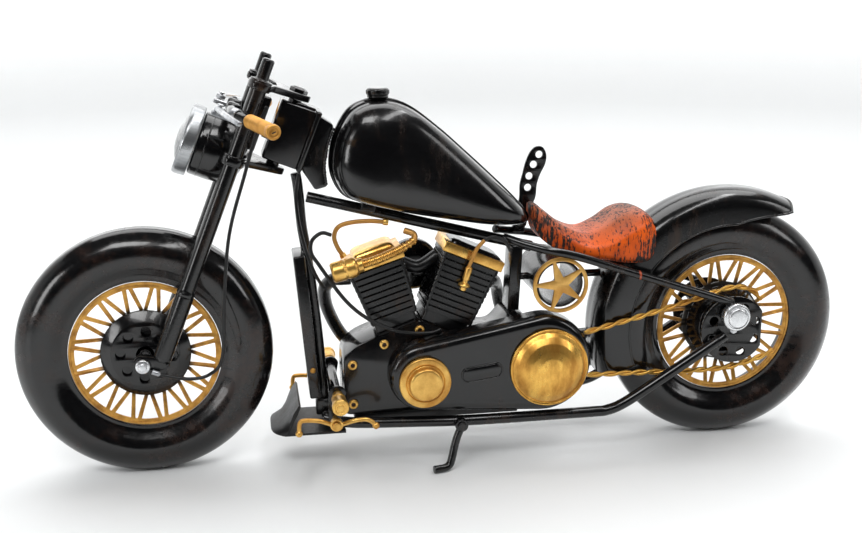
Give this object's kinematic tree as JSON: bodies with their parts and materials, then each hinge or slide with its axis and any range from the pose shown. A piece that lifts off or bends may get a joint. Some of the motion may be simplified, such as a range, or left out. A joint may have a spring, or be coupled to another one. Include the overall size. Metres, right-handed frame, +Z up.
{
  "type": "display model motorcycle",
  "caption": "Painted metal display model of a low V-twin chopper with turning wheels, steering fork, folding kickstand, hand shifter, levers and pedals.",
  "frame": {"origin": "on the ground under the middle of the wheelbase, at the bottom centre of the bounding box", "axes": "-X to the front, +X to the rear, -Y to the machine's left side, +Z up; stands upright on both tyres"},
  "size_m": [0.3984, 0.122, 0.1936],
  "materials": {
    "gloss_black": "gloss black paint, slightly uneven, brushed on",
    "satin_black": "satin black paint",
    "gold_paint": "satin metallic gold paint",
    "silver_paint": "bright silver",
    "tyre_paint": "gloss black paint with dark brown dry brushing",
    "lens_paint": "grey silver painted lens",
    "seat_paint": "orange paint dry brushed over black",
    "cable_black": "thin black coated wire"
  },
  "bodies": {
    "chassis": {"air_cleaner": "gloss_black", "backbone_tube": "gloss_black", "chain_lower": "gold_paint", "chain_upper": "gold_paint", "crankcase": "satin_black", "cylinder_front": "satin_black", "cylinder_rear": "satin_black", "down_tube": "gloss_black", "exhaust_front": "gloss_black", "exhaust_rear": "gloss_black", "filler_cap": "gloss_black", "foot_pegs": "gloss_black", "front_hub_cover": "gold_paint", "lower_rail_left": "gloss_black", "lower_rail_right": "gloss_black", "neck_housing": "gloss_black", "oil_can": "gloss_black", "oil_pipe": "gold_paint", "primary_cover": "gloss_black", "rear_axle": "silver_paint", "rear_dome_cover": "gold_paint", "rear_fender": "gloss_black", "rocker_box_front": "gold_paint", "rocker_box_rear": "gold_paint", "seat": "seat_paint", "seat_stay_left": "gloss_black", "seat_stay_right": "gloss_black", "skid_plate": "gloss_black", "spark_plug": "gold_paint", "star_cover": "gold_paint", "starter_motor": "gold_paint", "tank_left": "gloss_black", "tank_right": "gloss_black", "throttle_cable": "cable_black", "timing_cover": "gold_paint", "vent_cable": "cable_black"},
    "front_wheel": {"front_tyre": "tyre_paint", "front_spoke_disc": "gold_paint", "front_drum": "satin_black"},
    "rear_wheel": {"rear_tyre": "tyre_paint", "rear_spoke_disc": "gold_paint", "rear_drum": "satin_black"},
    "steering": {"lower_clamp": "gloss_black", "upper_clamp": "gloss_black", "fork_leg_left": "gloss_black", "fork_leg_right": "gloss_black", "front_axle": "silver_paint", "headlight_can": "gloss_black", "headlight_ring": "silver_paint", "headlight_lens": "lens_paint", "handlebar": "gloss_black", "grip_left": "gold_paint", "grip_right": "gold_paint", "front_brake_cable": "cable_black"},
    "clutch_lever": {"hand_lever_left": "silver_paint"},
    "brake_lever": {"hand_lever_right": "silver_paint"},
    "kickstand": {"kickstand": "gloss_black"},
    "hand_shifter": {"hand_shifter": "gloss_black"},
    "shift_pedal": {"shift_pedal": "gold_paint"},
    "brake_pedal": {"brake_pedal": "gold_paint"}
  },
  "joints": [
    {"name": "steering_hinge", "type": "hinge", "parent": "chassis", "child": "steering", "pos_m": [-0.073, 0, 0.16], "axis": [0.3714, 0, 0.9285], "range_deg": [-30, 30]},
    {"name": "front_wheel_spin", "type": "hinge", "parent": "steering", "child": "front_wheel", "pos_m": [-0.14075, 0, 0.0585], "axis": [0, -1, 0], "continuous": true},
    {"name": "rear_wheel_spin", "type": "hinge", "parent": "chassis", "child": "rear_wheel", "pos_m": [0.14075, 0, 0.0585], "axis": [0, -1, 0], "continuous": true},
    {"name": "kickstand_hinge", "type": "hinge", "parent": "chassis", "child": "kickstand", "pos_m": [0.0037, -0.0266, 0.0215], "axis": [0, -1, 0], "range_deg": [0, 70]},
    {"name": "hand_shifter_hinge", "type": "hinge", "parent": "chassis", "child": "hand_shifter", "pos_m": [0.04, 0.0116, 0.1094], "axis": [0, -1, 0], "range_deg": [-10, 8]},
    {"name": "shift_pedal_hinge", "type": "hinge", "parent": "chassis", "child": "shift_pedal", "pos_m": [-0.0555, -0.031, 0.0276], "axis": [0, -1, 0], "range_deg": [-8, 8]},
    {"name": "brake_pedal_hinge", "type": "hinge", "parent": "chassis", "child": "brake_pedal", "pos_m": [-0.0555, 0.031, 0.0276], "axis": [0, -1, 0], "range_deg": [0, 10]},
    {"name": "clutch_lever_hinge", "type": "hinge", "parent": "steering", "child": "clutch_lever", "pos_m": [-0.10134, -0.027, 0.17263], "axis": [0.3714, 0, 0.9285], "range_deg": [0, 14]},
    {"name": "brake_lever_hinge", "type": "hinge", "parent": "steering", "child": "brake_lever", "pos_m": [-0.10134, 0.027, 0.17263], "axis": [0.3714, 0, 0.9285], "range_deg": [-14, 0]}
  ]
}
